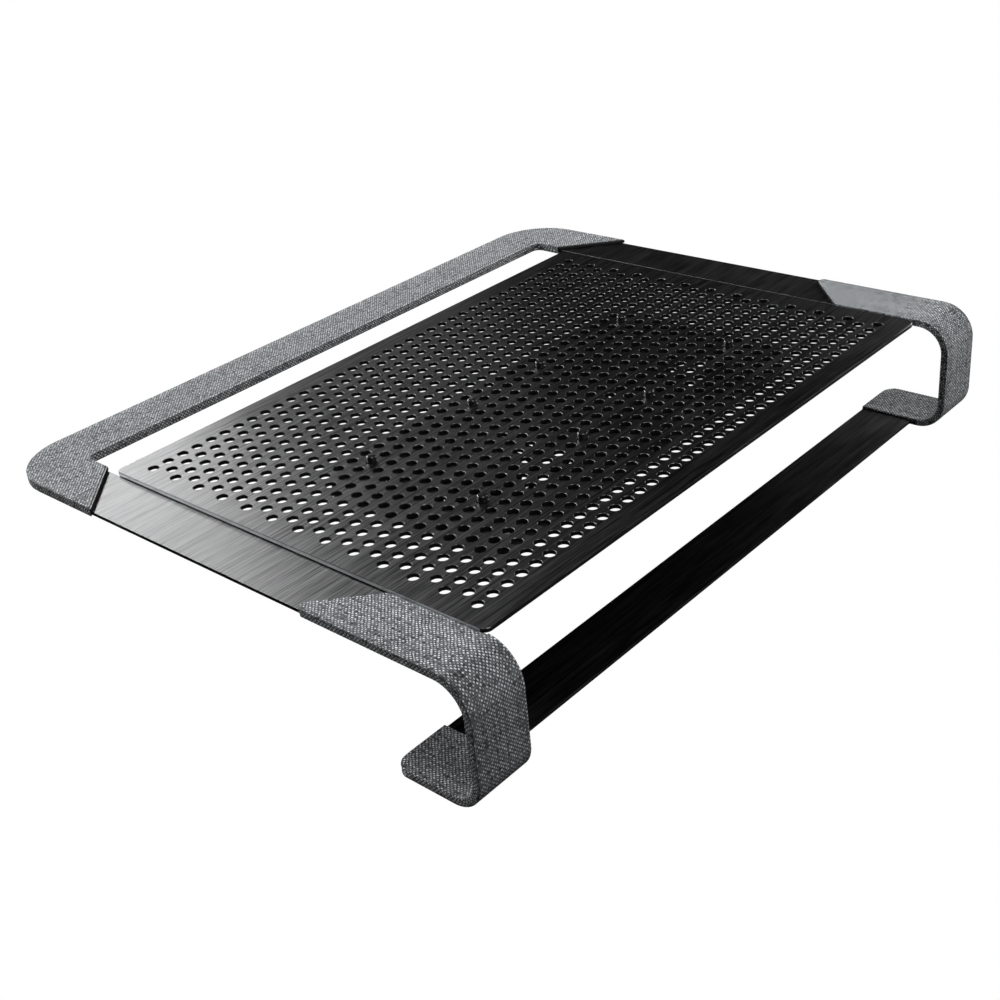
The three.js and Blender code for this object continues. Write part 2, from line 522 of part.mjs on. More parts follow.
// ---- assembly -----------------------------------------------------------------------------------
place('rail_core', railCore(), BLACK_PLASTIC);
place('rail_cover', railCover(), FABRIC_GREY);
place('crossbar', crossbar(), BRUSHED);
place('top_plate', topPlate(), BRUSHED);
for (const [name, side] of SIDES) {
  place(`side_strap_${name}`, sided(sideStrap(), side), BRUSHED);
  place(`leg_cover_${name}`, sided(legCover(side), side), FABRIC_GREY);
  place(`rail_cap_${name}`, sided(railCap(), side), BLACK_PLASTIC);
  place(`plate_support_${name}`, sided(plateSupport(side), side), SATIN);
  place(`rail_pad_${name}`, sided(rubberPad(60, 140, 3.75, 13.75, RAIL.bottom - SLIT), side), RUBBER);
  place(`foot_pad_${name}`, sided(rubberPad(159, 177, 243, 257, -HEIGHT - SLIT), side), RUBBER);
  RIVETS.forEach((y, i) => place(`foot_rivet_${name}_${i + 1}`, sided(rivet(y), side), STEEL));
  const underSupport = STRAP_TOP - SHEET - SLIT;
  const underTab = underSupport - TAB.thickness - SLIT;
  STRAP_SCREWS.forEach((y, i) =>
    place(`strap_screw_${name}_${i + 1}`,
      sided(screw(STRAP_SCREW_X, y, underTab, STRAP_TOP - 0.6), side), STEEL));
  PLATE_SCREWS.forEach((y, i) =>
    place(`plate_screw_${name}_${i + 1}`,
      sided(screw(plateScrewX(side), y, underSupport, -0.7), side), STEEL));

  const centre = fanCentre(side);
  const fan = `fan_${name}`;
  place(`${fan}_frame`, fanFrame(...centre, side), BLACK_PLASTIC);
  place(`${fan}_impeller`, impeller(...centre), BLACK_PLASTIC);
  place(`${fan}_magnet_ring`, magnetRing(...centre), MAGNET);
  place(`${fan}_shaft`, shaft(...centre), STEEL);
  place(`${fan}_bearing`, bearing(...centre), BRONZE);
  place(`${fan}_retaining_clip`, retainingClip(...centre), BLACK_PLASTIC);
  place(`${fan}_stator_core`, statorCore(...centre), STEEL);
  place(`${fan}_windings`, windings(...centre), COPPER);
  place(`${fan}_drive_board`, driveBoard(...centre), BOARD);
  place(`${fan}_power_socket`, powerSocket(...centre), BLACK_PLASTIC);
  pegsAround(...centre).forEach((at, i) =>
    place(`${fan}_peg_${CORNERS[i][0]}`, fanPeg(...at), GLOSSY_PLASTIC));
}

// Tilt the pad onto the desk plane, and put the middle of its outline over the origin.
pad.rotation.x = TILT;
const stand = new THREE.Group();
stand.add(pad);
stand.updateMatrixWorld(true);
const box = new THREE.Box3().setFromObject(stand, true);
pad.position.set(0, -(box.min.y + box.max.y) / 2, -DESK);

export default stand;
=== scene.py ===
"""Laptop cooling pad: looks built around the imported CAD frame.

Shapes are drawn in the pad's own frame, in millimetres: x to the user's right, y back from the
front edge of the rail, z square to the plate and 0 on its upper face. PAD takes that frame to where
the CAD holds the tilted pad. Sizes come from the CAD nodes' boxes in that same frame.
"""
import json
import math

import bmesh
import bpy
import numpy as np
from mathutils import Matrix, Vector

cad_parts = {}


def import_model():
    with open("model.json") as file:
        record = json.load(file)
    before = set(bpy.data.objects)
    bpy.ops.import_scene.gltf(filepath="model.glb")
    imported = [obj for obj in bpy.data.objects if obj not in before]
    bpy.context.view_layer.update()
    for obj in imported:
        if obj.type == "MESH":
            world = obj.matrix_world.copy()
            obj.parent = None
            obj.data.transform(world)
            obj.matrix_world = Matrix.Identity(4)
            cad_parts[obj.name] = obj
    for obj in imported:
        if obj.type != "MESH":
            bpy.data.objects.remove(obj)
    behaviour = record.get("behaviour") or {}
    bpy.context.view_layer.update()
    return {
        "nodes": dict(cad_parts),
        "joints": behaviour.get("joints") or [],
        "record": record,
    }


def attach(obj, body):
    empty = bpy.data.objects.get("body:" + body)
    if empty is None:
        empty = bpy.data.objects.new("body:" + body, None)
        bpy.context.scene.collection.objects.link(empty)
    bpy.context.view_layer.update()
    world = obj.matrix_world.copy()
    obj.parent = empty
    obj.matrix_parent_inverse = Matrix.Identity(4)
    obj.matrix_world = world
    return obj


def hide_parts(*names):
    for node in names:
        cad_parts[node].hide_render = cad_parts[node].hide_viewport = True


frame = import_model()

# ---- the pad's frame -----------------------------------------------------------------------------
MM = 0.001
NODES = frame["nodes"]
REST_NORMAL = Vector(next(m["axis"] for m in frame["record"]["mounts"] if m["name"] == "laptop_rest"))
TURN = Matrix.Rotation(math.atan2(-REST_NORMAL.y, REST_NORMAL.z), 4, "X")


def box_in(matrix, node):
    """Lowest and highest corner of a CAD node, in the frame that matrix takes to the row frame."""
    inverse = matrix.inverted()
    points = np.array([inverse @ vertex.co for vertex in NODES[node].data.vertices])
    return Vector(points.min(0)), Vector(points.max(0))


FRONT_EDGE = box_in(TURN, "rail_cover")[0].y
PLATE_TOP = box_in(TURN, "top_plate")[1].z
PAD = TURN @ Matrix.Translation((0, FRONT_EDGE, PLATE_TOP)) @ Matrix.Scale(MM, 4)


def pad_box(node):
    return box_in(PAD, node)


# ---- sizes (mm) ----------------------------------------------------------------------------------
PITCH = 7.9                      # vent holes, along a row and from row to row
COLUMNS, ROWS = 37, 25           # holes in the longer rows, and rows
HOLE_RADIUS = 2.5
HOLE_SEGMENTS = 24
FAN_ROW = 14.5                   # fan centre behind the field's front, in pitches
RIM = 0.12                       # chamfer round each hole
PLATE_CHAMFER = 0.22
CUT_EDGE_SLOT, HOLE_WALL_AND_EDGE_SHADE_SLOT = 1, 2   # materials of the plate, after its brushed metal; the second also paints a dark shade line on the side chamfers
PLATE_CORNER = 3.5
FABRIC = 0.45                    # fabric thickness at a sleeve's side
EDGE = 0.4                       # how round the fabric's edges are
RAIL_OUTER_RADIUS, RAIL_INNER_RADIUS = 29.2, 4.0
UPPER_BEND, LOWER_BEND = 14.05, 12.2
TIP_RADIUS = 2.8                 # pointed start of a leg's fabric
FOOT_CORNER = 6.8
CROSSBAR_FILLET = 2.3
SLIT = 0.15                      # clearance between neighbouring pieces
WIDE_SLIT = 2 * SLIT
RIVET_HOLE, SCREW_HOLE = 1.65, 1.35   # radii
LAP_MARGIN = 3.5                 # from a rivet's head to the end of the crossbar's lap
NO_LIP = [(0.0, 0.0)]            # a bar's end left square
PEG_CORNERS = ("front_left", "front_right", "back_left", "back_right")

PLATE_LOW, PLATE_HIGH = pad_box("top_plate")
PLATE_CENTRE = (PLATE_LOW + PLATE_HIGH) / 2
RAIL_LOW, RAIL_HIGH = pad_box("rail_cover")
LEG_LOW, LEG_HIGH = pad_box("leg_cover_right")
STRAP_LOW, STRAP_HIGH = pad_box("side_strap_right")
BAR_LOW, BAR_HIGH = pad_box("crossbar")
SHEET = BAR_HIGH.z - BAR_LOW.z
STRAP_MIDDLE = STRAP_HIGH.z - SHEET / 2
LEG_MIDDLE = STRAP_HIGH.y - SHEET / 2
FOOT_MIDDLE = STRAP_LOW.z + SHEET / 2
LEG_HALF = LEG_HIGH.z - STRAP_MIDDLE
CORE_HALF = SHEET / 2 + SLIT
SIDES = {"right": 1, "left": -1}
COVER_WIDTH = LEG_HIGH.x - LEG_LOW.x
RAIL_DEPTH = 26.8
FOOT_FRONT = BAR_LOW.y - 0.6
LAP_LOW = pad_box("foot_rivet_right_1")[0].y - LAP_MARGIN
LAP_HIGH = pad_box("foot_rivet_right_2")[1].y + LAP_MARGIN
TIP_TANGENT = TIP_RADIUS / math.tan(math.radians(22.5))
LEG_START = LEG_LOW.y + COVER_WIDTH - TIP_TANGENT + TIP_RADIUS
FAN_AT = {j["child"]: PAD.inverted() @ Vector(j["pos_m"]) for j in frame["joints"] if "pos_m" in j}


# ---- shapes: points and faces --------------------------------------------------------------------
class Shape:
    """Points (n, 3) in the pad's millimetres, faces as index lists, and one (u, v) per face corner."""

    def __init__(self, points, faces, uvs=None):
        self.points = np.asarray(points, float)
        self.faces = [list(face) for face in faces]
        self.uvs = uvs

    def moved(self, matrix):
        turned = self.points @ np.array(matrix.to_3x3()).T + np.array(matrix.translation)
        return Shape(turned, self.faces, self.uvs)

    def mirrored(self, side):
        return Shape(self.points * (side, 1, 1), self.faces, self.uvs)


def joined(*shapes):
    points, faces, uvs, start = [], [], [], 0
    for shape in shapes:
        points.append(shape.points)
        faces += [[start + i for i in face] for face in shape.faces]
        uvs += shape.uvs or [[(0, 0)] * len(face) for face in shape.faces]
        start += len(shape.points)
    return Shape(np.vstack(points), faces, uvs)


def loft(rings, closed=False, ring_uvs=None):
    """Quads between successive rings. A ring's uvs have one more entry than its points."""
    rings = np.asarray(rings, float)
    count, around = rings.shape[:2]
    faces, uvs = [], []
    for i in range(count if closed else count - 1):
        k = (i + 1) % count
        for j in range(around):
            after = (j + 1) % around
            faces.append([i * around + j, i * around + after, k * around + after, k * around + j])
            if ring_uvs is not None:
                here, there = ring_uvs[i], ring_uvs[k]
                uvs.append([here[j], here[j + 1], there[j + 1], there[j]])
    if not closed:
        for i in (0, count - 1):
            faces.append([i * around + j for j in range(around)])
            if ring_uvs is not None:
                uvs.append(list(ring_uvs[i][:around]))
    return Shape(rings.reshape(-1, 3), faces, uvs or None)


def arc(x, y, radius, start, end, steps):
    """Points on an arc, angles in degrees."""
    angles = np.radians(np.linspace(start, end, steps + 1))
    return [(x + radius * math.cos(a), y + radius * math.sin(a)) for a in angles]


def round_rectangle(x0, y0, x1, y1, radius, steps=8):
    return (arc(x1 - radius, y0 + radius, radius, -90, 0, steps)
            + arc(x1 - radius, y1 - radius, radius, 0, 90, steps)
            + arc(x0 + radius, y1 - radius, radius, 90, 180, steps)
            + arc(x0 + radius, y0 + radius, radius, 180, 270, steps))


def upright(outline, heights):
    """A prism or a stepped one: outline points (x, y) at each (height, inset from the middle)."""
    flat = np.asarray(outline, float)
    middle = (flat.min(0) + flat.max(0)) / 2
    half = (flat.max(0) - flat.min(0)) / 2
    rings = []
    for height, inset in heights:
        points = middle + (flat - middle) * (1 - inset / half)
        rings.append(np.column_stack([points, np.full(len(flat), height)]))
    return loft(rings)


def turned(profile, segments=48, closed=False):
    """A turned shape about z from (radius, height) points."""
    angles = np.linspace(0, 2 * math.pi, segments, endpoint=False)
    circle = np.column_stack([np.cos(angles), np.sin(angles)])
    rings = [np.column_stack([circle * max(radius, 1e-3), np.full(segments, z)]) for radius, z in profile]
    return loft(rings, closed=closed)


# ---- from a shape to a finished piece ------------------------------------------------------------
def mesh_of(name, shape):
    mesh = bpy.data.meshes.new(name)
    mesh.from_pydata(shape.points.tolist(), [], shape.faces)
    if shape.uvs:
        layer = mesh.uv_layers.new(name="weave")
        layer.data.foreach_set("uv", np.array([c for face in shape.uvs for c in face], np.float32).ravel())
    work = bmesh.new()
    work.from_mesh(mesh)
    bmesh.ops.remove_doubles(work, verts=work.verts, dist=1e-4)
    bmesh.ops.recalc_face_normals(work, faces=work.faces)
    work.to_mesh(mesh)
    work.free()
    return mesh


def bake(obj):
    """Applies the object's modifiers to its mesh."""
    graph = bpy.context.evaluated_depsgraph_get()
    mesh = bpy.data.meshes.new_from_object(obj.evaluated_get(graph))
    obj.modifiers.clear()
    obj.data = mesh


def combine(obj, operation, cutter):
    """Cuts away or joins on another shape."""
    other = bpy.data.objects.new("tool", mesh_of("tool", cutter))
    bpy.context.collection.objects.link(other)
    modifier = obj.modifiers.new("combine", "BOOLEAN")
    modifier.operation = operation
    modifier.solver = "EXACT"
    modifier.object = other
    bake(obj)
    bpy.data.objects.remove(other)


def add_bevel(obj, width, segments):
    modifier = obj.modifiers.new("bevel", "BEVEL")
    modifier.width = width
    modifier.segments = segments
    modifier.limit_method = "ANGLE"
    modifier.angle_limit = math.radians(38)
    modifier.miter_outer = "MITER_ARC"
    bake(obj)


def drawn(name, shape, cuts=(), unions=(), bevel=0.0, segments=3):
    """An object in the pad's millimetres, not yet placed."""
    obj = bpy.data.objects.new(name, mesh_of(name, shape))
    bpy.context.collection.objects.link(obj)
    for tool in unions:
        combine(obj, "UNION", tool)
    for tool in cuts:
        combine(obj, "DIFFERENCE", tool)
    if bevel:
        add_bevel(obj, bevel, segments)
    return obj


def finish(obj, body, look, stands_for=(), sharp=35, weighted=True):
    """Shades a drawn object, places it, attaches it to its body and hides the CAD nodes it stands for."""
    material, slot = look
    mesh = obj.data
    mesh.transform(PAD)
    mesh.materials.clear()
    mesh.materials.append(material)
    mesh.polygons.foreach_set("use_smooth", [True] * len(mesh.polygons))
    mesh.set_sharp_from_angle(angle=math.radians(sharp))
    if weighted:
        modifier = obj.modifiers.new("normals", "WEIGHTED_NORMAL")
        modifier.keep_sharp = True
        bake(obj)
    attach(obj, body)
    if stands_for:
        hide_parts(*stands_for)
    return obj


def copies(template, places):
    """One object from a drawn template for each (name, matrix), and drops the template."""
    made = []
    for name, matrix in places:
        obj = bpy.data.objects.new(name, template.data.copy())
        obj.data.transform(matrix)
        if matrix.determinant() < 0:
            obj.data.flip_normals()
        bpy.context.collection.objects.link(obj)
        made.append(obj)
    bpy.data.objects.remove(template)
    return made


# ---- materials -----------------------------------------------------------------------------------
class Nodes:
    """Builds one material's node tree around its Principled shader."""

    def __init__(self, name):
        self.material = bpy.data.materials.new(name)
        self.material.use_nodes = True
        self.tree = self.material.node_tree
        self.shader = next(n for n in self.tree.nodes if n.type == "BSDF_PRINCIPLED")

    def put(self, node, socket, value):
        target = node.inputs[socket]
        if isinstance(value, bpy.types.NodeSocket):
            self.tree.links.new(value, target)
        else:
            target.default_value = value

    def add(self, kind, inputs=None, **settings):
        node = self.tree.nodes.new("ShaderNode" + kind)
        for key, value in settings.items():
            setattr(node, key, value)
        for socket, value in (inputs or {}).items():
            self.put(node, socket, value)
        return node

    def math(self, operation, a, b=0.0, c=0.0):
        return self.add("Math", {0: a, 1: b, 2: c}, operation=operation).outputs[0]

    def vector(self, operation, a, b):
        return self.add("VectorMath", {0: a, 1: b}, operation=operation).outputs[0]

    def position(self):
        return self.add("TexCoord").outputs["Object"]

    def noise(self, at, scale, detail=3.0, rough=0.55, stretch=None):
        if stretch:
            at = self.vector("MULTIPLY", at, stretch)
        inputs = {"Vector": at, "Scale": scale, "Detail": detail, "Roughness": rough}
        return self.add("TexNoise", inputs).outputs["Fac"]

    def random(self, at):
        return self.add("TexWhiteNoise", {"Vector": at}, noise_dimensions="3D").outputs["Value"]

    def spread(self, value, low, high, start=0.0, end=1.0):
        inputs = {"Value": value, "From Min": start, "From Max": end, "To Min": low, "To Max": high}
        return self.add("MapRange", inputs).outputs[0]

    def mix(self, factor, a, b):
        node = self.add("Mix", data_type="RGBA")
        for socket, value in (("Factor_Float", factor), ("A_Color", a), ("B_Color", b)):
            target = next(i for i in node.inputs if i.identifier == socket)
            if isinstance(value, bpy.types.NodeSocket):
                self.tree.links.new(value, target)
            else:
                target.default_value = value
        return next(o for o in node.outputs if o.identifier == "Result_Color")

    def shade(self, inputs):
        for socket, value in inputs.items():
            self.put(self.shader, socket, value)

    def bump(self, height, strength, distance):
        node = self.add("Bump", {"Height": height, "Strength": strength, "Distance": distance})
        self.put(self.shader, "Normal", node.outputs[0])


def grey(value, tint=0.0):
    """A grey, cooler as tint grows."""
    return (value * (1 - tint), value, value * (1 + tint), 1)


def brushed_metal(name, dark, light, roughness, streaks=1.0):
    """Anodised aluminium brushed along the pad's width."""
    n = Nodes(name)
    at = n.position()
    fine = n.noise(at, 1.0, 3, 0.65, stretch=(42, 2600, 2600))
    broad = n.noise(at, 1.0, 2, 0.5, stretch=(32, 1000, 1000))
    cloud = n.noise(at, 22.0, 2, 0.5)
    both = n.math("ADD", n.math("MULTIPLY", fine, 0.6), n.math("MULTIPLY", broad, 0.4))
    streak = n.spread(both, 0, 1, 0.41, 0.6)
    tone = n.math("ADD", n.math("MULTIPLY", streak, 0.85), n.math("MULTIPLY", cloud, 0.15))
    across = TURN @ Vector((0, 1, 0))
    n.shade({
        "Base Color": n.mix(tone, dark, light),
        "Metallic": 1.0,
        "Roughness": n.spread(streak, roughness - 0.05 * streaks, roughness + 0.07 * streaks),
        "Anisotropic": 0.72,
        "Tangent": n.add("CombineXYZ", {0: across.x, 1: across.y, 2: across.z}).outputs[0],
    })
    n.bump(both, 0.16 * streaks, 0.00006)
    return n.material


def woven_fabric(name):
    """Heather grey plain weave. The cloth's own coordinates, in millimetres, are in the uv map."""
    thread = 0.84
    n = Nodes(name)
    cloth = n.add("UVMap", uv_map="weave").outputs[0]
    drift = n.noise(cloth, 0.35, 2)
    shift = n.add("CombineXYZ", {0: n.spread(drift, -0.5, 0.5), 1: n.spread(drift, 0.4, -0.4), 2: 0.0})
    at = n.vector("MULTIPLY", n.vector("ADD", cloth, shift.outputs[0]), (1 / thread, 1 / thread, 0))
    split = n.add("SeparateXYZ", {0: at})
    along, across = split.outputs[0], split.outputs[1]
    cell = n.vector("FLOOR", at, (0, 0, 0))
    column, row = n.math("FLOOR", along), n.math("FLOOR", across)
    over = n.math("FLOORED_MODULO", n.math("ADD", column, row), 2.0)
    wave_along = n.math("SINE", n.math("MULTIPLY", n.math("FRACT", along), math.pi))
    wave_across = n.math("SINE", n.math("MULTIPLY", n.math("FRACT", across), math.pi))

    def crown(lengthwise, crosswise):
        length = n.math("MULTIPLY_ADD", n.math("POWER", lengthwise, 0.7), 0.55, 0.45)
        return n.math("MULTIPLY", n.math("POWER", crosswise, 0.55), length)

    warp, weft = crown(wave_along, wave_across), crown(wave_across, wave_along)
    height = n.math("ADD", n.math("MULTIPLY", warp, n.math("SUBTRACT", 1.0, over)),
                    n.math("MULTIPLY", weft, over))
    strand_row = n.random(n.add("CombineXYZ", {0: row, 1: 7.3, 2: 0.0}).outputs[0])
    strand_column = n.random(n.add("CombineXYZ", {0: column, 1: -3.1, 2: 5.0}).outputs[0])
    strand = n.math("ADD", n.math("MULTIPLY", strand_row, n.math("SUBTRACT", 1.0, over)),
                    n.math("MULTIPLY", strand_column, over))
    fleck = n.random(cell)
    slub = n.noise(cloth, 0.42, 3, 0.6)
    shade = n.math("ADD", n.math("MULTIPLY", fleck, 0.5), n.math("MULTIPLY", strand, 0.34))
    shade = n.math("ADD", shade, n.math("MULTIPLY", n.spread(slub, 0, 1, 0.3, 0.7), 0.16))
    tone = n.math("MULTIPLY", n.spread(shade, 0, 1, 0.12, 0.8), n.math("MULTIPLY_ADD", over, -0.8, 1.0))
    yarn = n.mix(tone, grey(0.03, 0.1), grey(0.86, 0.035))
    # Painted shade: the colour darkens to a dark grey in the low gaps between the threads.
    gap_shade = n.spread(height, 0.0, 1.0, 0.3, 0.8)
    n.shade({
        "Base Color": n.mix(gap_shade, grey(0.03, 0.05), yarn),
        "Roughness": 0.92,
        "Specular IOR Level": 0.18,
        "Sheen Weight": 0.12,
        "Sheen Roughness": 0.45,
    })
    fuzz = n.noise(cloth, 5.5, 2, 0.6)
    n.bump(n.math("ADD", height, n.math("MULTIPLY", fuzz, 0.35)), 0.75, 0.00016)
    return n.material


def moulded_plastic(name, tone, roughness, grain=0.35, specular=0.45):
    """Spark-eroded black plastic."""
    n = Nodes(name)
    at = n.position()
    texture = n.noise(at, 2400, 2, 0.6)
    cloud = n.noise(at, 55, 3, 0.5)
    n.shade({
        "Base Color": n.mix(cloud, grey(tone * 0.75), grey(tone * 1.35, 0.02)),
        "Roughness": n.spread(cloud, roughness - 0.06, roughness + 0.08),
        "Specular IOR Level": specular,
    })
    n.bump(texture, grain, 0.00005)
    return n.material


def polished_nylon(name):
    n = Nodes(name)
    at = n.position()
    scuff = n.noise(at, 900, 4, 0.7)
    n.shade({
        "Base Color": n.mix(scuff, grey(0.008), grey(0.016, 0.02)),
        "Roughness": n.spread(scuff, 0.1, 0.24, 0.35, 0.7),
        "Coat Weight": 0.35,
        "Coat Roughness": 0.08,
    })
    n.bump(n.noise(at, 420, 2), 0.08, 0.00004)
    return n.material


def plain_metal(name, dark, light, roughness, scale, stretch=(1, 1, 1), metallic=1.0, bump=0.2):
    """Metal with a machined or cast grain."""
    n = Nodes(name)
    at = n.position()
    grain = n.noise(at, scale, 3, 0.6, stretch=stretch)
    n.shade({
        "Base Color": n.mix(n.spread(grain, 0, 1, 0.3, 0.7), dark, light),
        "Metallic": metallic,
        "Roughness": n.spread(grain, roughness - 0.07, roughness + 0.1),
    })
    n.bump(grain, bump, 0.00005)
    return n.material


def soft_rubber(name):
    n = Nodes(name)
    at = n.position()
    grain = n.noise(at, 1700, 3, 0.7)
    dust = n.spread(n.noise(at, 160, 4, 0.65), 0, 1, 0.55, 0.8)
    n.shade({
        "Base Color": n.mix(n.math("MULTIPLY", dust, 0.5), grey(0.012), grey(0.05)),
        "Roughness": n.spread(grain, 0.72, 0.92),
        "Specular IOR Level": 0.3,
    })
    n.bump(grain, 0.4, 0.00006)
    return n.material


def wound_copper(name):
    """Enamelled wire wound in fine turns."""
    n = Nodes(name)
    at = n.position()
    turns = n.add("TexWave", {"Vector": at, "Scale": 900, "Distortion": 0.6, "Detail": 1.0},
                  wave_type="BANDS", bands_direction="Z").outputs["Fac"]
    tint = n.noise(at, 240, 2)
    # Painted shade: the copper is darker in the grooves between turns, the low parts of the same bands that
    # set the bump.
    n.shade({
        "Base Color": n.mix(n.math("MULTIPLY", turns, tint), (0.16, 0.045, 0.014, 1), (0.72, 0.27, 0.11, 1)),
        "Metallic": 0.9,
        "Roughness": n.spread(tint, 0.24, 0.4),
        "Coat Weight": 0.4,
    })
    n.bump(turns, 0.6, 0.00012)
    return n.material


def circuit_board(name):
    """Green solder mask over copper tracks."""
    n = Nodes(name)
    at = n.position()
    cells = n.add("TexVoronoi", {"Vector": at, "Scale": 620.0}, distance="MANHATTAN", feature="F1")
    track = n.spread(cells.outputs["Distance"], 1, 0, 0.28, 0.34)
    n.shade({
        "Base Color": n.mix(track, (0.008, 0.06, 0.022, 1), (0.02, 0.16, 0.06, 1)),
        "Roughness": n.spread(n.noise(at, 300, 2), 0.22, 0.36),
        "Coat Weight": 0.3,
    })
    n.bump(track, 0.4, 0.00004)
    return n.material


BRUSHED = (brushed_metal("brushed_aluminium", grey(0.016, 0.01), grey(0.19, 0.01), 0.36),
           "black_brushed_aluminium")
# Painted shade: a darker copy of the same brushed aluminium, for the crossbar where the plate shades it.
CROSSBAR_PAINTED_SHADE = (brushed_metal("brushed_aluminium_painted_shade", grey(0.003), grey(0.05), 0.4),
          "black_brushed_aluminium")
SATIN = (brushed_metal("satin_metal", grey(0.04), grey(0.07), 0.42, streaks=0.4),
         "black_satin_metal")
CUT_EDGE = plain_metal("cut_edge", grey(0.84, 0.01), grey(0.93, 0.01), 0.3, 1.0, (26, 300, 300))
HOLE_WALL_AND_EDGE_SHADE = moulded_plastic("hole_wall_and_painted_edge_line", 0.008, 0.5, grain=0.1, specular=0.25)
CLOTH = (woven_fabric("heather_fabric"), "grey_fabric")
PLASTIC = (moulded_plastic("black_plastic", 0.014, 0.46), "black_plastic")
CAP = (moulded_plastic("cap_plastic", 0.02, 0.4, grain=0.15), "black_plastic")
NYLON = (polished_nylon("gloss_nylon"), "black_gloss_plastic")
STEEL = (plain_metal("steel", grey(0.34), grey(0.55, 0.01), 0.3, 900), "steel")
RUBBER = (soft_rubber("rubber"), "rubber")
BRONZE = (plain_metal("sintered_bronze", (0.3, 0.17, 0.07, 1), (0.52, 0.32, 0.15, 1), 0.5, 2600),
          None)
FERRITE = (plain_metal("ferrite", grey(0.03), grey(0.07), 0.62, 1800, metallic=0.2), None)
COPPER = (wound_copper("copper_windings"), None)
BOARD = (circuit_board("drive_board"), None)
LAMINATED = (plain_metal("laminated_steel", grey(0.12), grey(0.42), 0.38, 1.0, (60, 60, 2400)), None)


# ---- top plate -----------------------------------------------------------------------------------
def hole_cell():
    """One lattice cell with its hole: points and quads, the cell's outline divided like its neighbours'."""
    side = HOLE_SEGMENTS // 4
    step = np.linspace(-0.5, 0.5, side + 1)[:-1] * PITCH
    edge = np.full(side, PITCH / 2)
    square = np.vstack([np.column_stack(pair) for pair in
                        ((step, -edge), (edge, step), (-step, edge), (-edge, -step))])
    unit = square / np.linalg.norm(square, axis=1)[:, None]
    levels = ((square, 0), (unit * (HOLE_RADIUS + RIM), 0), (unit * HOLE_RADIUS, -RIM),
              (unit * HOLE_RADIUS, PLATE_LOW.z + RIM), (unit * (HOLE_RADIUS + RIM), PLATE_LOW.z),
              (square, PLATE_LOW.z))
    rings = [np.column_stack([points, np.full(len(points), z)]) for points, z in levels]
    cell = loft(rings)
    return cell.points, cell.faces[:-2]


def half_cell():
    """The blank half cell at the end of a shorter row, above and below."""
    side = HOLE_SEGMENTS // 4
    points, faces = [], []
    for z in (0, PLATE_LOW.z):
        start = len(points)
        points += [(i * PITCH / side, (j / side - 0.5) * PITCH, z)
                   for i in range(side // 2 + 1) for j in range(side + 1)]
        row = side + 1
        faces += [[start + i * row + j, start + (i + 1) * row + j, start + (i + 1) * row + j + 1,
                   start + i * row + j + 1] for i in range(side // 2) for j in range(side)]
    return np.array(points), faces


def plate_border(field_low, field_high):
    """The plate's plain margin and its edge, joined to the hole field point by point."""
    side = HOLE_SEGMENTS // 4
    xs = np.linspace(field_low.x, field_high.x, COLUMNS * side + 1)
    ys = np.linspace(field_low.y, field_high.y, ROWS * side + 1)
    inner, corner_at = [], []
    for points in ([(x, field_low.y) for x in xs], [(field_high.x, y) for y in ys],
                   [(x, field_high.y) for x in xs[::-1]], [(field_low.x, y) for y in ys[::-1]]):
        corner_at.append(len(inner))
        inner += points[:-1]

    def outline(inset):
        low = Vector((PLATE_LOW.x + inset, PLATE_LOW.y + inset))
        high = Vector((PLATE_HIGH.x - inset, PLATE_HIGH.y - inset))
        radius = PLATE_CORNER - inset
        loops = []
        sides = ([(x, low.y) for x in xs], [(high.x, y) for y in ys],
                 [(x, high.y) for x in xs[::-1]], [(low.x, y) for y in ys[::-1]])
        centres = ((high.x - radius, low.y + radius), (high.x - radius, high.y - radius),
                   (low.x + radius, high.y - radius), (low.x + radius, low.y + radius))
        for k, (line, centre) in enumerate(zip(sides, centres)):
            loops += [line, arc(*centre, radius, 90 * k - 90, 90 * k, 8)]
        return loops

    inset_loops, full_loops = outline(PLATE_CHAMFER), outline(0)
    flat_inset = [p for line in inset_loops for p in line]
    flat_full = [p for line in full_loops for p in line]
    points, faces = [], []
    for z, edge in ((0, flat_inset), (PLATE_LOW.z, flat_inset)):
        start = len(points)
        points += [(x, y, z) for x, y in inner] + [(x, y, z) for x, y in edge]
        outer = start + len(inner)
        at = 0
        for k in range(4):
            line, bend = inset_loops[2 * k], inset_loops[2 * k + 1]
            for i in range(len(line) - 1):
                a = start + corner_at[k] + i
                b = start + (corner_at[k] + i + 1) % len(inner)
                faces.append([a, b, outer + at + i + 1, outer + at + i])
            after = (at + len(line) + len(bend)) % len(edge)
            fan = [outer + at + len(line) - 1 + i for i in range(len(bend) + 1)] + [outer + after]
            faces.append([start + corner_at[(k + 1) % 4], *fan])
            at += len(line) + len(bend)
    levels = ((flat_inset, 0), (flat_full, -PLATE_CHAMFER), (flat_full, PLATE_LOW.z + PLATE_CHAMFER),
              (flat_inset, PLATE_LOW.z))
    wall = loft([[(x, y, z) for x, y in line] for line, z in levels])
    return [(np.array(points), faces), (wall.points, wall.faces[:-2])]


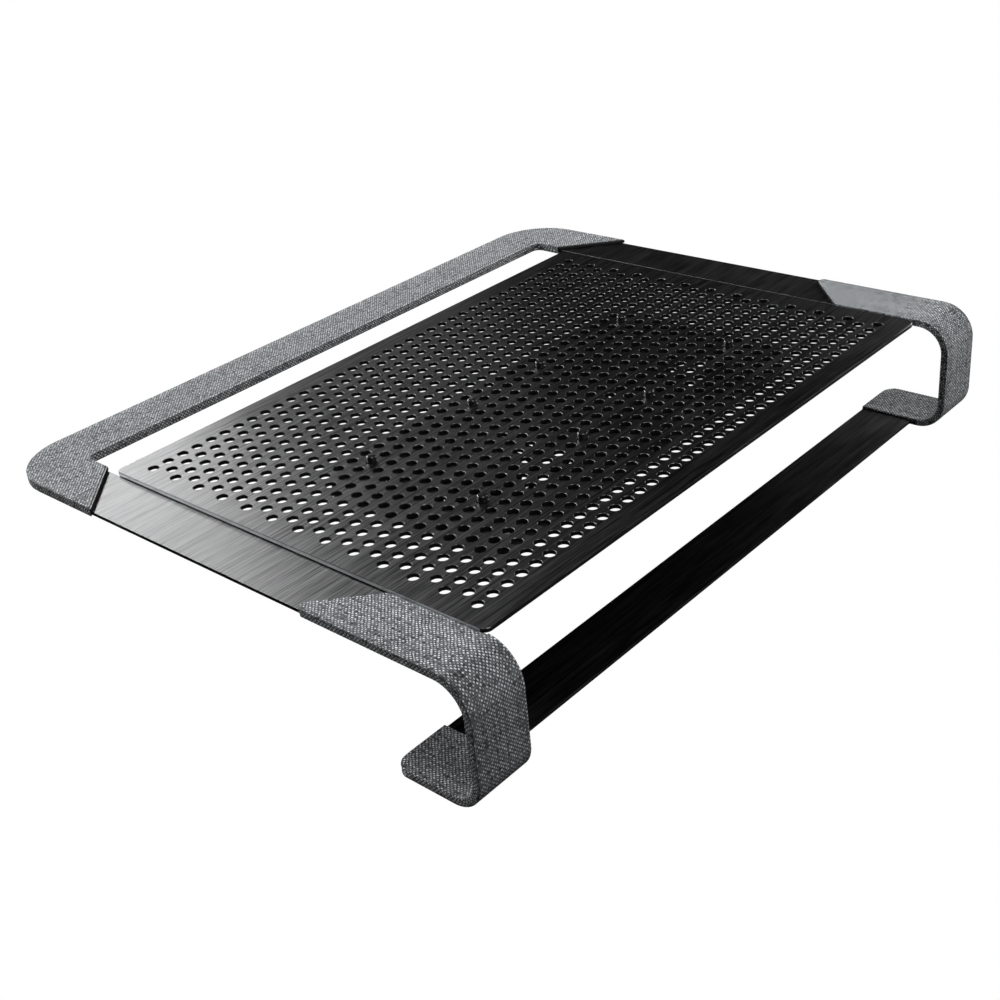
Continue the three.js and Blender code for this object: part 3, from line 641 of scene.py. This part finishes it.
def top_plate():
    cell, blank = hole_cell(), half_cell()
    width, depth = COLUMNS * PITCH, ROWS * PITCH
    low = Vector((PLATE_CENTRE.x - width / 2, FAN_AT["impeller_right"].y - FAN_ROW * PITCH))
    parts = plate_border(low, low + Vector((width, depth)))
    for row in range(ROWS):
        y = low.y + (row + 0.5) * PITCH
        short = row % 2
        for column in range(COLUMNS - short):
            x = low.x + (column + 0.5 + short / 2) * PITCH
            parts.append((cell[0] + (x, y, 0), cell[1]))
        if short:
            parts.append((blank[0] + (low.x, y, 0), blank[1]))
            parts.append((blank[0] + (low.x + width - PITCH / 2, y, 0), blank[1]))
    shape = joined(*(Shape(points, faces) for points, faces in parts))
    shape.uvs = None
    plate = finish(drawn("perforated_plate", shape), "frame", BRUSHED, ["top_plate"], weighted=False)
    plate.data.materials.append(CUT_EDGE)
    plate.data.materials.append(HOLE_WALL_AND_EDGE_SHADE)
    to_pad = PAD.inverted()
    for face in plate.data.polygons:
        centre = to_pad @ face.center
        margin = min(centre.x - PLATE_LOW.x, PLATE_HIGH.x - centre.x)
        inside = PLATE_LOW.z + RIM < centre.z < -RIM
        # Hole walls and the front and back walls take the near-black plastic. So do the chamfers along the
        # two sides: a painted dark line standing in for the shade at the plate's side edges.
        if inside and margin < PLATE_CHAMFER / 4:
            face.material_index = CUT_EDGE_SLOT
        elif inside and margin > PLATE_CHAMFER or PLATE_LOW.z < centre.z < 0 and margin < PLATE_CHAMFER:
            face.material_index = HOLE_WALL_AND_EDGE_SHADE_SLOT


# ---- sleeves and straps --------------------------------------------------------------------------
def section(width, half, radius, steps=4):
    """A rounded bar's outline as (across, through) points starting underneath, and how far along
    its surface each is, so that on top this equals the distance across."""
    tip, seam = 5.2, 3
    top = list(np.linspace(radius, width - tip, 7)[1:]) + list(
        width - radius - (tip - radius) * (1 - np.sin(np.linspace(0, math.pi / 2, 9)[1:-1])))
    points = [(w, -half) for w in top[seam::-1]]
    points += arc(radius, -half + radius, radius, 270, 180, steps)
    points += arc(radius, half - radius, radius, 180, 90, steps)
    points += [(w, half) for w in top]
    points += arc(width - radius, half - radius, radius, 90, 0, steps)
    points += arc(width - radius, radius - half, radius, 0, -90, steps)
    points += [(w, -half) for w in top[:seam:-1]]
    lengths = np.cumsum([0] + [math.dist(points[i], points[i - 1]) for i in range(1, len(points))])
    first_top = seam + 1 + 2 * steps + 1
    total = lengths[-1] + math.dist(points[-1], points[0])
    along = np.append(lengths, total) - lengths[first_top] + radius
    return points, along


def bent_line(start, end):
    """Stations (y, z, normal y, normal z, path length, kind, share) from the bar round to the foot."""
    upper = (LEG_MIDDLE - UPPER_BEND, STRAP_MIDDLE - UPPER_BEND)
    lower = (LEG_MIDDLE - LOWER_BEND, FOOT_MIDDLE + LOWER_BEND)
    stations, length = [], upper[0]
    for share in np.linspace(0, 1, 25)[:-1]:
        y = start + (upper[0] - start) * share
        stations.append((y, STRAP_MIDDLE, 0, 1, y, "start", share))
    for angle in np.linspace(90, 0, 19):
        turn = math.radians(angle)
        normal = (math.cos(turn), math.sin(turn))
        stations.append((upper[0] + UPPER_BEND * normal[0], upper[1] + UPPER_BEND * normal[1], *normal,
                         length + UPPER_BEND * math.radians(90 - angle), "", 0))
    length += UPPER_BEND * math.pi / 2
    drop = upper[1] - lower[1]
    for share in np.linspace(0, 1, 7)[1:-1]:
        stations.append((LEG_MIDDLE, upper[1] - drop * share, 1, 0, length + drop * share, "", 0))
    length += drop
    for angle in np.linspace(0, -90, 19):
        turn = math.radians(angle)
        normal = (math.cos(turn), math.sin(turn))
        stations.append((lower[0] + LOWER_BEND * normal[0], lower[1] + LOWER_BEND * normal[1], *normal,
                         length + LOWER_BEND * math.radians(-angle), "", 0))
    length += LOWER_BEND * math.pi / 2
    for share in np.linspace(0, 1, 17)[1:]:
        y = lower[0] + (end - lower[0]) * share
        stations.append((y, FOOT_MIDDLE, 0, -1, length + lower[0] - y, "end", share))
    return stations


def corner_set_back(x, outer, radius):
    """How far a corner of that radius pulls the edge back at x."""
    into = x - (outer - radius)
    return radius - math.sqrt(max(radius ** 2 - into ** 2, 0)) if into > 0 else 0.0


def bent_rings(inner, outer, half, edge, start_at, end_at, lips):
    """Rings of a bent bar or sleeve. start_at and end_at give its ends as y at each x; a lip
    (set back, thinning) rounds the last few rings."""
    outline, along = section(outer - inner, half, edge)
    start, end = start_at(inner), end_at(inner)
    stations = bent_line(start, end)
    start_lips, end_lips = lips
    steps = [(s, 0.0, 0.0) for s in stations]
    steps = [(stations[0], back, thin) for back, thin in start_lips] + steps[1:-1]
    steps += [(stations[-1], -back, thin) for back, thin in end_lips[::-1]]
    rings, uvs = [], []
    for (y, z, normal_y, normal_z, length, kind, share), back, thin in steps:
        ring, ring_uv = [], []
        for index, (across, through) in enumerate(outline + outline[:1]):
            x = inner + across
            move = 0.0
            if kind == "start":
                move = (start_at(x) - start) * (1 - share) + back
            elif kind == "end":
                move = (end_at(x) - end) * share - back
            depth = through * (half - thin) / half
            ring.append((x, y + move + depth * normal_y, z + depth * normal_z))
            ring_uv.append((length + (move if kind == "start" else -move), inner + along[index]))
        rings.append(ring[:-1])
        uvs.append(ring_uv)
    return rings, uvs


def quarter_lip(radius, steps=4):
    """Set back and thinning that round a closed end."""
    angles = np.linspace(0, math.pi / 2, steps + 1)
    return [(radius * (1 - math.cos(a)), radius * (1 - math.sin(a))) for a in angles]


def leg_start(x):
    """Plan line of a leg fabric's start: 45 degrees across, then round its pointed tip."""
    bend_from = LEG_HIGH.x - TIP_TANGENT * math.sin(math.radians(45))
    if x <= bend_from:
        return LEG_START - (x - LEG_LOW.x)
    into = x - (LEG_HIGH.x - TIP_RADIUS)
    centre = LEG_START - COVER_WIDTH + TIP_TANGENT
    return centre - math.sqrt(max(TIP_RADIUS ** 2 - into ** 2, 0))


def block(x0, y0, z0, x1, y1, z1):
    return loft([[(x0, y0, z), (x1, y0, z), (x1, y1, z), (x0, y1, z)] for z in (z0, z1)])


def pin(x, y, radius, z0, z1, segments=32):
    return turned([(radius, z0), (radius, z1)], segments).moved(Matrix.Translation((x, y, 0)))


def leg_sleeve():
    """Fabric sleeve over the right leg and foot: its outside, then its hollow, joined at the start."""
    half = LEG_HALF
    rings, uvs = bent_rings(
        LEG_LOW.x, LEG_HIGH.x, half, EDGE, leg_start,
        lambda x: FOOT_FRONT + corner_set_back(x, LEG_HIGH.x, FOOT_CORNER),
        (quarter_lip(0.2), quarter_lip(EDGE)))
    inset = half - CORE_HALF
    inner_rings, inner_uvs = bent_rings(
        LEG_LOW.x + FABRIC, LEG_HIGH.x - FABRIC, CORE_HALF, 0.3, leg_start,
        lambda x: FOOT_FRONT + FABRIC + corner_set_back(x, LEG_HIGH.x - FABRIC, FOOT_CORNER - inset),
        (NO_LIP, NO_LIP))
    return loft(inner_rings[::-1] + rings, ring_uvs=inner_uvs[::-1] + uvs)



def leg_covers():
    slot = block(LEG_LOW.x - 1, FOOT_FRONT + FABRIC, BAR_LOW.z - SLIT,
                 LEG_LOW.x + 2, LEG_MIDDLE - LOWER_BEND, BAR_HIGH.z + SLIT)
    step = block(LEG_LOW.x - 1, LEG_START - 40, STRAP_HIGH.z,
                 PLATE_HIGH.x + WIDE_SLIT, PLATE_HIGH.y + WIDE_SLIT, 1)
    for name, side in SIDES.items():
        overlaps = side * (PLATE_HIGH.x if side > 0 else PLATE_LOW.x) > LEG_LOW.x
        cuts = [slot, step] if overlaps else [slot]
        cover = drawn("leg_sleeve_" + name, leg_sleeve().mirrored(side), [c.mirrored(side) for c in cuts])
        finish(cover, "frame", CLOTH, ["leg_cover_" + name], sharp=50)


def rail_plan(inset):
    """Pairs of points across the U, from its inner edge to its outer one, left arm to right arm."""
    inner, outer = LEG_LOW.x + inset, RAIL_HIGH.x - inset
    inner_radius, outer_radius = RAIL_INNER_RADIUS + inset, RAIL_OUTER_RADIUS - inset
    inner_at = Vector((inner - inner_radius, RAIL_DEPTH - inset + inner_radius))
    outer_at = Vector((outer - outer_radius, inset + outer_radius))
    inner_end = RAIL_HIGH.y - COVER_WIDTH + inset
    outer_end = RAIL_HIGH.y - inset
    half = [(Vector((inner_at.x * t, RAIL_DEPTH - inset)), Vector((outer_at.x * t, inset)))
            for t in np.linspace(0, 1, 40)[:-1]]
    for angle in np.radians(np.linspace(-90, 0, 25)):
        out = Vector((math.cos(angle), math.sin(angle)))
        half.append((inner_at + inner_radius * out, outer_at + outer_radius * out))
    for t in np.linspace(0, 1, 9)[1:]:
        half.append((Vector((inner, inner_at.y + (inner_end - inner_at.y) * t)),
                     Vector((outer, outer_at.y + (outer_end - outer_at.y) * t))))
    mirror = Matrix.Diagonal((-1, 1))
    return [(mirror @ a, mirror @ b) for a, b in half[:0:-1]] + half


def rail_rings(inset, edge):
    middle = (RAIL_HIGH.z + RAIL_LOW.z) / 2
    rings, uvs = [], []
    for inner, outer in rail_plan(inset):
        across = (outer - inner).normalized()
        outline, along = section((outer - inner).length, RAIL_HIGH.z - middle - inset, edge)
        rings.append([(*(inner + across * w), middle + through) for w, through in outline])
        uvs.append([tuple(inner + across * s) for s in along])
    return rings, uvs


def rail_sleeve():
    """Fabric round the U-shaped rail, open at its two 45 degree ends."""
    outside, outside_uvs = rail_rings(0, EDGE)
    inside, inside_uvs = rail_rings(FABRIC, 0.3)
    shape = loft(outside + inside[::-1], closed=True, ring_uvs=outside_uvs + inside_uvs[::-1])
    finish(drawn("rail_sleeve", shape), "frame", CLOTH, ["rail_cover"], sharp=50)


def rail_caps():
    low, high = pad_box("rail_cap_right")
    width = high.x - low.x
    plan = [(low.x, low.y), (high.x, low.y + width), (high.x, high.y), (low.x, high.y - width)]
    for name, side in SIDES.items():
        shape = loft([[(x, y, z) for x, y in plan] for z in (low.z, high.z)]).mirrored(side)
        finish(drawn("rail_end_cap_" + name, shape, bevel=0.3), "frame", CAP, ["rail_cap_" + name])


def hole_tools(names, radius):
    """Round cutters where the named pins and screws stand."""
    return [pin((low.x + high.x) / 2, (low.y + high.y) / 2, radius, low.z - 1, high.z + 0.2)
            for low, high in map(pad_box, names)]


def side_straps():
    """The bent metal bar of each side, with the pocket where the crossbar is riveted under it."""
    rings, _ = bent_rings(
        STRAP_LOW.x, STRAP_HIGH.x, SHEET / 2, 0.22, lambda x: STRAP_LOW.y,
        lambda x: BAR_LOW.y + corner_set_back(x, STRAP_HIGH.x, FOOT_CORNER - FABRIC), (NO_LIP, NO_LIP))
    lap = block(STRAP_LOW.x - 1, LAP_LOW - WIDE_SLIT, FOOT_MIDDLE - 3,
                BAR_HIGH.x + WIDE_SLIT, LAP_HIGH + WIDE_SLIT, FOOT_MIDDLE)
    holes = hole_tools(["foot_rivet_right_1", "foot_rivet_right_2"], RIVET_HOLE)
    holes += hole_tools(["strap_screw_right_1", "strap_screw_right_2"], SCREW_HOLE)
    template = drawn("strap", loft(rings), cuts=[lap, joined(*holes)])
    places = [("metal_side_strap_" + name, Matrix.Diagonal((side, 1, 1, 1)))
              for name, side in SIDES.items()]
    for name, strap in zip(SIDES, copies(template, places)):
        finish(strap, "frame", BRUSHED, ["side_strap_" + name])


def crossbar():
    """Flat bar between the feet, widening into them, with a thinner lap under each."""
    end = LEG_LOW.x + 0.5
    flare = arc(end - CROSSBAR_FILLET - 1, BAR_HIGH.y, CROSSBAR_FILLET, -90, 0, 8)
    half = [*flare, (end, BAR_HIGH.y), (end, BAR_LOW.y)]
    plan = half + [(-x, y) for x, y in half[::-1]]
    body = loft([[(x, y, z) for x, y in plan] for z in (BAR_LOW.z, BAR_HIGH.z)])
    laps = [block(end - 1, LAP_LOW, BAR_LOW.z, BAR_HIGH.x, LAP_HIGH, FOOT_MIDDLE - SLIT).mirrored(side)
            for side in SIDES.values()]
    holes = hole_tools([f"foot_rivet_{n}_{i}" for n in SIDES for i in (1, 2)], RIVET_HOLE)
    bar = drawn("rear_crossbar", body, bevel=0.28)
    for lap in laps:
        combine(bar, "UNION", lap)
    combine(bar, "DIFFERENCE", joined(*holes))
    # Painted shade: the crossbar takes the darker copy of the brushed aluminium.
    finish(bar, "frame", CROSSBAR_PAINTED_SHADE, ["crossbar"])


# ---- small parts ---------------------------------------------------------------------------------
def refined(name, node, width, segments, body, look):
    """A CAD node redrawn with its flat faces whole and its edges rounded."""
    mesh = NODES[node].data.copy()
    mesh.transform(PAD.inverted())
    work = bmesh.new()
    work.from_mesh(mesh)
    bmesh.ops.remove_doubles(work, verts=work.verts, dist=1e-4)
    bmesh.ops.dissolve_limit(work, angle_limit=math.radians(1), verts=work.verts, edges=work.edges)
    work.to_mesh(mesh)
    work.free()
    obj = bpy.data.objects.new(name, mesh)
    bpy.context.collection.objects.link(obj)
    add_bevel(obj, width, segments)
    return finish(obj, body, look, [node])


def pan_screw(low, high, head_radius=2.2, head_height=1.1, shank=1.1):
    """Pan-head screw with a cross recess, pointing up from (0, 0, low)."""
    seat = low + head_height
    dome = [(head_radius * math.sin(a), seat - 0.35 - (head_height - 0.35) * math.cos(a))
            for a in np.radians(np.linspace(0, 90, 9))]
    body = turned([*dome, (head_radius, seat), (shank, seat), (shank, high - 0.5), (shank - 0.5, high)], 40)
    wings = [block(-1.15, -0.27, low - 1, 1.15, 0.27, low + 0.7).moved(Matrix.Rotation(turn, 4, "Z"))
             for turn in (math.radians(20), math.radians(110))]
    return body, wings


def screws():
    for kind in ("strap_screw", "plate_screw"):
        for name in SIDES:
            for i in (1, 2):
                node = f"{kind}_{name}_{i}"
                low, high = pad_box(node)
                body, wings = pan_screw(low.z, high.z)
                at = Matrix.Translation(((low.x + high.x) / 2, (low.y + high.y) / 2, 0))
                screw = drawn(node + "_cross_head", body, cuts=wings)
                screw.data.transform(at)
                finish(screw, "frame", STEEL, [node], sharp=40)


def rounded_post(radius, low, high, dome, segments=48):
    """A round peg with a domed top and an eased bottom edge."""
    top = [(radius - dome + dome * math.cos(a), high - dome + dome * math.sin(a))
           for a in np.radians(np.linspace(0, 90, 9))]
    ease = 0.4
    return turned([(0, low), (radius - ease, low), (radius, low + ease), *top, (0, high)], segments)


# ---- fans ----------------------------------------------------------------------------------------
BORE = 41.0
GUARD_RINGS = (24.5, 32.5)
POST_INNER, POST_OUTER = 2.75, 3.9
HUB_RADIUS, HUB_WALL = 17.0, 1.2
BLADE_COUNT = 9


def fan_housing(low, high):
    """Housing within a box given from the fan's axis, with duct, struts, guard rings and motor base."""
    bottom, top = low.z, high.z
    base_top = bottom + 1.6
    post_top = bottom + 8.3
    chamfer = 0.7
    outline = round_rectangle(low.x, low.y, high.x, high.y, 8, 12)
    shell = upright(outline, [(bottom, chamfer), (bottom + chamfer, 0), (top - chamfer, 0), (top, chamfer)])
    duct = turned([(BORE + 1.6, bottom - 0.6), (BORE, bottom + 1),
                   (BORE, top - 1), (BORE + 1.6, top + 0.6)], 128)
    struts = [block(HUB_RADIUS - 1, -2.4, bottom, BORE + 1.8, 2.4, base_top)
              .moved(Matrix.Rotation(math.radians(turn), 4, "Z")) for turn in (45, 135, 225, 315)]
    rings = [turned([(r - 0.8, bottom), (r + 0.8, bottom), (r + 0.8, base_top - 0.3), (r + 0.5, base_top),
                     (r - 0.5, base_top), (r - 0.8, base_top - 0.3)], 128, closed=True)
             for r in GUARD_RINGS]
    base = turned([(HUB_RADIUS + 0.6, bottom), (HUB_RADIUS + 1, bottom + 0.4),
                   (HUB_RADIUS + 1, base_top - 0.3), (HUB_RADIUS + 0.7, base_top)], 96)
    post = turned([(POST_OUTER, base_top - 0.5), (POST_OUTER, post_top)], 48)
    post_bore = turned([(POST_INNER, bottom + 0.8), (POST_INNER, post_top + 1)], 48)
    dimple = turned([(9.0, bottom - 1), (9.0, bottom + 0.35)], 64)
    return shell, duct, [joined(*struts), base, rings[0], rings[1], post], [post_bore, dimple]


def blade(angle, bottom, top):
    """One swept, cambered blade from inside the hub's wall to its tip."""
    sweep, chord, thickness, tip = 0.62, 0.76, 1.05, 40.0
    rings = []
    for t in np.linspace(0, 1, 11):
        radius = HUB_RADIUS - 0.5 + (tip - HUB_RADIUS + 0.5) * t
        lead = angle + sweep * t * t
        trail = lead - chord * (1 - 0.15 * t)
        ring = []
        shares = np.linspace(0, 1, 9)
        for side, row in ((1, shares), (-1, shares[::-1])):
            for s in row:
                turn = lead + (trail - lead) * s
                line = bottom + thickness / 2 + (top - bottom - thickness) * s + 0.7 * math.sin(math.pi * s)
                skin = thickness * (0.18 + 0.4 * math.sin(math.pi * min(max(s, 0.02), 0.98)))
                ring.append((radius * math.cos(turn), radius * math.sin(turn), line + side * skin))
        rings.append(ring)
    return loft(rings)


def impeller(low, high):
    """Hub cup with nine blades, drawn round its own axis."""
    top, bottom = high.z, high.z - 9.0
    under, inside, bore = top - HUB_WALL, HUB_RADIUS - HUB_WALL, 1.0
    ease = [(HUB_RADIUS - 0.9 + 0.9 * math.cos(a), top - 0.9 + 0.9 * math.sin(a))
            for a in np.radians(np.linspace(0, 90, 7))]
    profile = [(bore, under - 0.9), (3, under - 0.9), (3, under), (inside, under), (inside, bottom),
               (HUB_RADIUS, bottom), *ease, (5.2, top), (4.9, top - 0.3), (bore, top - 0.3)]
    cup = turned(profile, 96, closed=True)
    blades = [blade(2 * math.pi * i / BLADE_COUNT, low.z, top - 0.6) for i in range(BLADE_COUNT)]
    return cup, joined(*blades)


def from_axis(at, node):
    """A node's box measured from a fan's axis."""
    low, high = pad_box(node)
    return low - at, high - at


def fans():
    axes = {name: Vector((*FAN_AT["impeller_" + name].xy, 0)) for name in SIDES}
    for name, at in axes.items():
        shell, duct, unions, bores = fan_housing(*from_axis(at, f"fan_{name}_frame"))
        peg_holes = []
        for corner in PEG_CORNERS:
            low, high = from_axis(at, f"fan_{name}_peg_{corner}")
            middle = (low + high) / 2
            peg_holes.append(pin(middle.x, middle.y, (high.x - low.x) / 2 + SLIT, low.z - WIDE_SLIT, 2))
        low, high = from_axis(at, f"fan_{name}_power_socket")
        room = block(low.x - SLIT, low.y - SLIT, low.z - SLIT, high.x + SLIT, high.y + 2, high.z + SLIT)
        housing = drawn(f"fan_{name}_housing", shell, cuts=[duct])
        for tool in unions:
            combine(housing, "UNION", tool)
        for tool in (*bores, joined(*peg_holes), room):
            combine(housing, "DIFFERENCE", tool)
        housing.data.transform(Matrix.Translation(at))
        finish(housing, "fan_" + name, PLASTIC, [f"fan_{name}_frame"], sharp=32)

    low, high = pad_box("fan_right_impeller")
    cup, blades = impeller(low, high)
    rotor = drawn("rotor", cup, unions=[blades])
    named = [(f"fan_{name}_rotor", Matrix.Translation(at)) for name, at in axes.items()]
    for name, obj in zip(SIDES, copies(rotor, named)):
        finish(obj, "impeller_" + name, PLASTIC, [f"fan_{name}_impeller"], sharp=40)

    for name in SIDES:
        for corner in PEG_CORNERS:
            node = f"fan_{name}_peg_{corner}"
            low, high = pad_box(node)
            post = rounded_post((high.x - low.x) / 2, low.z, high.z, 0.55)
            peg = drawn(f"fan_{name}_nylon_peg_{corner}", post)
            peg.data.transform(Matrix.Translation(((low.x + high.x) / 2, (low.y + high.y) / 2, 0)))
            finish(peg, "fan_" + name, NYLON, [node], sharp=50)
        refined(f"fan_{name}_socket", f"fan_{name}_power_socket", 0.12, 2, "fan_" + name, PLASTIC)


KEPT = {
    "rail_core": PLASTIC, "magnet_ring": FERRITE, "shaft": STEEL, "bearing": BRONZE,
    "retaining_clip": CAP, "stator_core": LAMINATED, "windings": COPPER, "drive_board": BOARD,
    "foot_rivet": STEEL,
}


def kept_nodes():
    """The CAD nodes that stay get their own procedural materials."""
    for node, obj in NODES.items():
        for part, (material, _) in KEPT.items():
            if part in node:
                obj.data.materials.clear()
                obj.data.materials.append(material)


# ---- the object ----------------------------------------------------------------------------------
top_plate()
rail_sleeve()
rail_caps()
leg_covers()
side_straps()
crossbar()
screws()
fans()
for side_name in SIDES:
    refined("edge_support_" + side_name, "plate_support_" + side_name, 0.14, 2, "frame", SATIN)
    refined("rubber_rail_pad_" + side_name, "rail_pad_" + side_name, 0.35, 3, "frame", RUBBER)
    refined("rubber_foot_pad_" + side_name, "foot_pad_" + side_name, 0.35, 3, "frame", RUBBER)
kept_nodes()


# ---- floor, lights and camera --------------------------------------------------------------------
def emission(name, strength):
    """Even light of its own, with no shading."""
    material = bpy.data.materials.new(name)
    material.use_nodes = True
    tree = material.node_tree
    tree.nodes.clear()
    glow = tree.nodes.new("ShaderNodeEmission")
    glow.inputs["Strength"].default_value = strength
    out = tree.nodes.new("ShaderNodeOutputMaterial")
    tree.links.new(glow.outputs[0], out.inputs[0])
    return material


def floor():
    """Pale sweep that shows to the camera but throws no light under the pad."""
    mesh = bpy.data.meshes.new("floor")
    reach = 30.0
    mesh.from_pydata([(-reach, -reach, 0), (reach, -reach, 0), (reach, reach, 0), (-reach, reach, 0)], [],
                     [(0, 1, 2, 3)])
    mesh.materials.append(emission("pale_floor", 1.0))
    obj = bpy.data.objects.new("floor", mesh)
    bpy.context.collection.objects.link(obj)
    obj.visible_diffuse = False
    obj.visible_glossy = False
    obj.visible_shadow = False


def softbox(name, azimuth, elevation, distance, width, height, watts):
    """A rectangular light that aims at the pad; azimuth 0 is behind the user, at the front."""
    data = bpy.data.lights.new(name, "AREA")
    data.shape = "RECTANGLE"
    data.size, data.size_y = width, height
    data.energy = watts
    turn, rise = math.radians(azimuth), math.radians(elevation)
    away = Vector((math.sin(turn) * math.cos(rise), -math.cos(turn) * math.cos(rise), math.sin(rise)))
    light = bpy.data.objects.new(name, data)
    light.location = Vector((0, 0, 0.03)) + away * distance
    light.rotation_euler = (-away).to_track_quat("-Z", "Y").to_euler()
    light.visible_camera = False
    bpy.context.collection.objects.link(light)
    return light


def world():
    """White behind the object; a dim grey surround for everything else."""
    sky = bpy.data.worlds.new("surround")
    sky.use_nodes = True
    tree = sky.node_tree
    background = next(n for n in tree.nodes if n.type == "BACKGROUND")
    path = tree.nodes.new("ShaderNodeLightPath")
    level = tree.nodes.new("ShaderNodeMapRange")
    level.inputs["To Min"].default_value = 0.01
    level.inputs["To Max"].default_value = 1.0
    tree.links.new(path.outputs["Is Camera Ray"], level.inputs["Value"])
    tree.links.new(level.outputs[0], background.inputs["Strength"])
    background.inputs["Color"].default_value = (1, 1, 1, 1)
    bpy.context.scene.world = sky


def camera():
    """Looks at the pad from behind its right side and above; roll tips the level horizon."""
    at = PAD @ Vector((429.2, 547.3, 268.2))
    aim = PAD @ Vector((85.8, 211.0, 0.0))
    roll = math.radians(5.09)
    forward = (aim - at).normalized()
    level = forward.cross(Vector((0, 0, 1))).normalized()
    rise = level.cross(forward)
    right = level * math.cos(roll) + rise * math.sin(roll)
    up = rise * math.cos(roll) - level * math.sin(roll)
    data = bpy.data.cameras.new("camera")
    data.lens, data.sensor_width = 50.36, 36.0
    data.clip_start, data.clip_end = 0.01, 100.0
    obj = bpy.data.objects.new("camera", data)
    obj.matrix_world = Matrix.Translation(at) @ Matrix((right, up, -forward)).transposed().to_4x4()
    bpy.context.collection.objects.link(obj)
    bpy.context.scene.camera = obj


floor()
world()
softbox("front_key", 2.5, 15, 2.0, 2.2, 0.46, 58)
softbox("front_wing", -36, 9, 2.0, 0.45, 0.25, 0.45)
softbox("front_right", 28, 25, 2.0, 0.4, 0.22, 4.5)
softbox("overhead", 160, 77, 1.5, 0.8, 0.8, 14)
softbox("rear_left", -150, 12, 0.75, 0.4, 0.28, 0.6)
softbox("left_low", -108, 9, 0.5, 0.25, 0.16, 1.1)
camera()
bpy.context.scene.view_settings.view_transform = "Standard"
